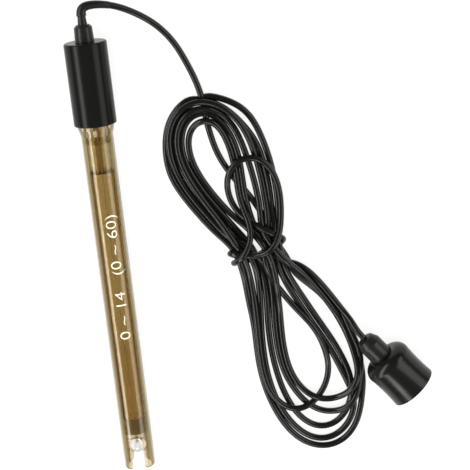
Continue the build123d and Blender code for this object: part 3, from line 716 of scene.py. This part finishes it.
def surface_group():
    group = bpy.data.node_groups.new("moulded_surface", "ShaderNodeTree")
    amounts = {"Roughness": 0.3, "Patch": 0.06, "Grain Scale": 6000.0, "Grain": 0.1}
    for label, value in amounts.items():
        socket = group.interface.new_socket(label, in_out="INPUT", socket_type="NodeSocketFloat")
        socket.default_value = value
    group.interface.new_socket("Roughness", in_out="OUTPUT", socket_type="NodeSocketFloat")
    group.interface.new_socket("Normal", in_out="OUTPUT", socket_type="NodeSocketVector")
    entry = add_node(group, "NodeGroupInput")
    leave = add_node(group, "NodeGroupOutput")
    place = add_node(group, "ShaderNodeTexCoord")
    patches = add_node(group, "ShaderNodeTexNoise")
    patches.inputs["Scale"].default_value = PATCH_SCALE
    patches.inputs["Detail"].default_value = 3.0
    centred = add_node(group, "ShaderNodeMath", operation="SUBTRACT")
    centred.inputs[1].default_value = 0.5
    scaled = add_node(group, "ShaderNodeMath", operation="MULTIPLY")
    summed = add_node(group, "ShaderNodeMath", operation="ADD")
    grain = add_node(group, "ShaderNodeTexNoise")
    grain.inputs["Detail"].default_value = 2.0
    bump = add_node(group, "ShaderNodeBump")
    bump.inputs["Distance"].default_value = GRAIN_DEPTH
    group.links.new(place.outputs["Object"], patches.inputs["Vector"])
    group.links.new(place.outputs["Object"], grain.inputs["Vector"])
    group.links.new(entry.outputs["Grain Scale"], grain.inputs["Scale"])
    group.links.new(patches.outputs["Fac"], centred.inputs[0])
    group.links.new(centred.outputs[0], scaled.inputs[0])
    group.links.new(entry.outputs["Patch"], scaled.inputs[1])
    group.links.new(scaled.outputs[0], summed.inputs[0])
    group.links.new(entry.outputs["Roughness"], summed.inputs[1])
    group.links.new(grain.outputs["Fac"], bump.inputs["Height"])
    group.links.new(entry.outputs["Grain"], bump.inputs["Strength"])
    group.links.new(summed.outputs[0], leave.inputs["Roughness"])
    group.links.new(bump.outputs["Normal"], leave.inputs["Normal"])
    return group


moulded_surface = surface_group()
print("surface group", len(moulded_surface.nodes), "nodes")

# %% [markdown]
# A helper for opaque pieces. Each of them gets a Principled shader, which describes most real
# surfaces with one colour and a few amounts. Its roughness and its normal come from the surface
# group. The group could be added by hand to each material, but a helper keeps them all alike.


# %% Solid finish helper
def solid_finish(name, color, roughness, patch=0.06, grain_scale=6000.0, grain=0.1, **sockets):
    """A Principled finish whose roughness and normal come from the surface group."""
    material, tree = new_material(name)
    shader = add_node(tree, "ShaderNodeBsdfPrincipled")
    output = add_node(tree, "ShaderNodeOutputMaterial")
    surface = add_node(tree, "ShaderNodeGroup")
    surface.node_tree = moulded_surface
    surface.inputs["Roughness"].default_value = roughness
    surface.inputs["Patch"].default_value = patch
    surface.inputs["Grain Scale"].default_value = grain_scale
    surface.inputs["Grain"].default_value = grain
    shader.inputs["Base Color"].default_value = (*color, 1)
    for label, value in sockets.items():
        shader.inputs[label.replace("_", " ")].default_value = value
    tree.links.new(surface.outputs["Roughness"], shader.inputs["Roughness"])
    tree.links.new(surface.outputs["Normal"], shader.inputs["Normal"])
    tree.links.new(shader.outputs[0], output.inputs["Surface"])
    return material


# %% [markdown]
# The wet zone. A ray may cross only so many bending surfaces before it is given up as black. The
# stem and the buffer stand in a liquid of nearly their own index and would hardly bend it, so
# between two limits along the tube they let it straight through. The pieces could be cut at the
# limits and given two materials, but the nodes must keep their shape, so a mask does it. The same
# mask marks the stretch above the gel where the middle of the stem is painted brown, as painted
# shade.


# %% Wet zone
def wet_group():
    """Give 1 where a point's place along Y lies between two limits, else 0."""
    group = bpy.data.node_groups.new("wet_zone", "ShaderNodeTree")
    for label in ("From", "To"):
        group.interface.new_socket(label, in_out="INPUT", socket_type="NodeSocketFloat")
    group.interface.new_socket("Zone", in_out="OUTPUT", socket_type="NodeSocketFloat")
    entry = add_node(group, "NodeGroupInput")
    leave = add_node(group, "NodeGroupOutput")
    place = add_node(group, "ShaderNodeTexCoord")
    parts = add_node(group, "ShaderNodeSeparateXYZ")
    above = add_node(group, "ShaderNodeMath", operation="GREATER_THAN")
    below = add_node(group, "ShaderNodeMath", operation="LESS_THAN")
    both = add_node(group, "ShaderNodeMath", operation="MULTIPLY")
    group.links.new(place.outputs["Object"], parts.inputs[0])
    group.links.new(parts.outputs["Y"], above.inputs[0])
    group.links.new(entry.outputs["From"], above.inputs[1])
    group.links.new(parts.outputs["Y"], below.inputs[0])
    group.links.new(entry.outputs["To"], below.inputs[1])
    group.links.new(above.outputs[0], both.inputs[0])
    group.links.new(below.outputs[0], both.inputs[1])
    group.links.new(both.outputs[0], leave.inputs["Zone"])
    return group


wet_zone = wet_group()
print("zone group", len(wet_zone.nodes), "nodes")

# %% [markdown]
# The tint of clear bodies. Amber plastic gets darker where light has a longer way through the
# wall, and for a tube that is beside its rims. Real absorption would do this, but a thin tint that
# follows how far the surface turns away is easier to match to the picture. A colour ramp holds it.


# %% Clear finish helpers
def turned_tint(tree, stops):
    """Return a colour output that follows how far the surface turns away from the ray, through a
    list of (turn, colour)."""
    facing = add_node(tree, "ShaderNodeLayerWeight")
    facing.inputs["Blend"].default_value = 0.5
    ramp = add_node(tree, "ShaderNodeValToRGB")
    elements = ramp.color_ramp.elements
    elements[1].position = 1.0
    for turn, color in stops[1:]:
        elements.new(turn).color = (*color, 1)
    elements[0].color = (*stops[0][1], 1)
    elements[len(stops)].color = (*stops[-1][1], 1)
    tree.links.new(facing.outputs["Facing"], ramp.inputs["Fac"])
    return ramp.outputs["Color"]


def zone_mask(tree, limits):
    """Return an output that is 1 between two limits along Y, else 0."""
    zone = add_node(tree, "ShaderNodeGroup")
    zone.node_tree = wet_zone
    zone.inputs["From"].default_value, zone.inputs["To"].default_value = limits
    return zone.outputs["Zone"]


def clear_finish(
    name, color, roughness, ior, wall=None, wet=None, wet_wall=None, dry=None, dry_painted_shade=None, **sockets
):
    """A clear body: light passes through it, bent by its index and tinted by its colour, or by the
    stops of its wall. Between the two limits of wet it lets light straight through, tinted by the
    stops of its wet wall. Between the limits of dry it takes the stops of its dry painted shade, a
    brown painted in as shade."""
    material, tree = new_material(name)
    shader = add_node(tree, "ShaderNodeBsdfPrincipled")
    output = add_node(tree, "ShaderNodeOutputMaterial")
    shader.inputs["Base Color"].default_value = (*color, 1)
    shader.inputs["Roughness"].default_value = roughness
    shader.inputs["IOR"].default_value = ior
    shader.inputs["Transmission Weight"].default_value = 1.0
    for label, value in sockets.items():
        shader.inputs[label.replace("_", " ")].default_value = value
    if wall:
        tree.links.new(turned_tint(tree, wall), shader.inputs["Base Color"])
    if dry:
        # Painted shade: between the limits of dry the colour turns brown where the surface faces the
        # ray.
        blend = add_node(tree, "ShaderNodeMix", data_type="RGBA")
        factor, plain, painted_shade = (blend.inputs[index] for index in (0, 6, 7))
        plain.default_value = (*color, 1)
        tree.links.new(zone_mask(tree, dry), factor)
        tree.links.new(turned_tint(tree, dry_painted_shade), painted_shade)
        tree.links.new(blend.outputs[2], shader.inputs["Base Color"])
    if wet is None:
        tree.links.new(shader.outputs[0], output.inputs["Surface"])
        return material
    straight = add_node(tree, "ShaderNodeBsdfTransparent")
    tree.links.new(turned_tint(tree, wet_wall), straight.inputs["Color"])
    mix = add_node(tree, "ShaderNodeMixShader")
    tree.links.new(zone_mask(tree, wet), mix.inputs[0])
    tree.links.new(shader.outputs[0], mix.inputs[1])
    tree.links.new(straight.outputs[0], mix.inputs[2])
    tree.links.new(mix.outputs[0], output.inputs["Surface"])
    return material


# %% [markdown]
# The opaque finishes. The cap is a dark semi-gloss moulding, the plug's grip is the same plastic
# with more polish, the strain relief and the boot are rubber, and the cable has a satin jacket.
# The metal pieces inside the plug are nickel, gold plate and bronze. A fixed colour and gloss for
# each would do from far away, and the surface group adds what is seen close by. The seal and the
# silver wires get painted light: a weak glow of their own colour, because little light reaches them
# through the tube.

# %% Opaque finishes
SEAL = (0.30, 0.25, 0.15)
SILVER = (0.62, 0.56, 0.46)
cap_black = solid_finish(
    "cap_black", (0.005, 0.005, 0.005), 0.24, patch=0.04, grain=0.06, Specular_IOR_Level=0.13
)
hood_black = solid_finish(
    "hood_black", (0.005, 0.005, 0.005), 0.25, patch=0.05, grain=0.06, Specular_IOR_Level=0.25
)
rubber_black = solid_finish(
    "rubber_black", (0.007, 0.007, 0.007), 0.34, grain=0.2, Specular_IOR_Level=0.3
)
jacket_black = solid_finish(
    "jacket_black", (0.005, 0.005, 0.005), 0.22, grain=0.1, Specular_IOR_Level=0.35
)
# Painted light: the seal glows weakly in its own colour.
seal_painted_glow = solid_finish(
    "seal_painted_glow", SEAL, 0.55, grain=0.2, Emission_Color=(*SEAL, 1), Emission_Strength=0.22
)
stopper_pale = solid_finish("stopper_pale", (0.60, 0.57, 0.50), 0.6)
ceramic_white = solid_finish("ceramic_white", (0.84, 0.82, 0.78), 0.8, grain=0.4)
resin_dark = solid_finish("resin_dark", (0.035, 0.034, 0.033), 0.3)
shrink_black = solid_finish("shrink_black", (0.03, 0.03, 0.03), 0.45)
insulator_white = solid_finish("insulator_white", (0.88, 0.87, 0.84), 0.45)
gasket_red = solid_finish("gasket_red", (0.42, 0.07, 0.05), 0.55, grain=0.2)
# Painted light: the silver wires glow weakly in their own colour.
silver_wire_painted_glow = solid_finish(
    "silver_wire_painted_glow", SILVER, 0.5, Metallic=0.2, Emission_Color=(*SILVER, 1), Emission_Strength=0.35
)
print_white = solid_finish("print_white", (0.80, 0.75, 0.60), 0.55, grain=0.05)
nickel = solid_finish("nickel", (0.70, 0.68, 0.64), 0.22, patch=0.12, Metallic=1.0)
gold = solid_finish("gold", (0.93, 0.66, 0.27), 0.20, patch=0.1, Metallic=1.0)
spring_bronze = solid_finish("spring_bronze", (0.62, 0.42, 0.22), 0.28, Metallic=1.0)
print("opaque finishes", moulded_surface.users)

# %% [markdown]
# The clear finishes. The tube is amber plastic, the stem is blown glass, and the two liquids
# inside have the tint that gives the middle of the tube its brown. Each is a real dielectric with
# its own index, so the pale rims come from the shapes, and the wall's tint draws the dark lines
# beside them. Above the gel the middle of the stem is brown too: its glass is given painted shade
# there.

# %% Clear finishes
wet_from = (foot[1] + SEAL_END) * MM
wet_to = (foot[1] + GEL_LEVEL - GEL_DISH) * MM
AMBER = (0.66, 0.58, 0.40)
STEM = (0.99, 0.985, 0.97)
GEL = (0.86, 0.72, 0.48)
BUFFER = (0.97, 0.92, 0.85)
BUFFER_END = 0.1
# Painted shade: the brown painted into the middle of the stem above the gel.
STEM_PAINTED_SHADE = (0.70, 0.60, 0.42)
amber_clear = clear_finish(
    "amber_clear", AMBER, 0.02, 1.45, Specular_IOR_Level=1.0,
    wall=[
        (0.0, AMBER), (0.36, (0.62, 0.53, 0.34)), (0.44, (0.12, 0.075, 0.015)),
        (0.58, (0.14, 0.09, 0.02)), (0.74, (0.58, 0.52, 0.36)), (0.90, (0.66, 0.62, 0.50)),
        (0.96, (0.02, 0.015, 0.004)),
    ],
)
glass_clear = clear_finish(
    "glass_clear", STEM, 0.0, 1.47, wet=(wet_from, wet_to),
    wet_wall=[(0.0, STEM), (0.55, STEM), (0.80, (0.55, 0.42, 0.24))],
    dry=(wet_to, BUFFER_END), dry_painted_shade=[(0.0, STEM_PAINTED_SHADE), (0.08, STEM_PAINTED_SHADE), (0.20, STEM)],
)
gel_clear = clear_finish(
    "gel_clear", GEL, 0.0, 1.34, wall=[(0.0, GEL), (0.50, GEL), (0.80, (0.26, 0.18, 0.07))],
)
collar_clear = clear_finish("collar_clear", (0.80, 0.68, 0.45), 0.25, 1.45)
buffer_clear = clear_finish(
    "buffer_clear", (0.97, 0.975, 0.98), 0.0, 1.34, wet=(wet_from, BUFFER_END),
    wet_wall=[(0.0, BUFFER), (1.0, BUFFER)],
)

finish_of = {
    "body_tube": amber_clear,
    "head_cap": cap_black,
    "cable_gland": rubber_black,
    "glass_stem": glass_clear,
    "inner_buffer": buffer_clear,
    "inner_wire": silver_wire_painted_glow,
    "stem_stopper": stopper_pale,
    "reference_wire": silver_wire_painted_glow,
    "seal_plug": seal_painted_glow,
    "junction_plug": ceramic_white,
    "stem_collar": collar_clear,
    "potting": resin_dark,
    "cable_cap_end": jacket_black,
    "core_sleeve": shrink_black,
    "screen_sleeve": nickel,
    "plug_body": nickel,
    "plug_insulator": insulator_white,
    "plug_pin": gold,
    "plug_gasket": gasket_red,
    "spring_washer": spring_bronze,
    "retaining_ring": nickel,
    "coupling_sleeve": nickel,
    "plug_hood": hood_black,
    "crimp_ferrule": nickel,
    "plug_boot": rubber_black,
    "cable_plug_end": jacket_black,
}
for name, finish in finish_of.items():
    piece = nodes[name]
    piece.data.materials.clear()
    piece.data.materials.append(finish)
cable.data.materials.append(jacket_black)
sleeve.data.materials.append(rubber_black)
gel_column.data.materials.append(gel_clear)
printed_numbers.data.materials.append(print_white)
print("finished nodes", len(finish_of))
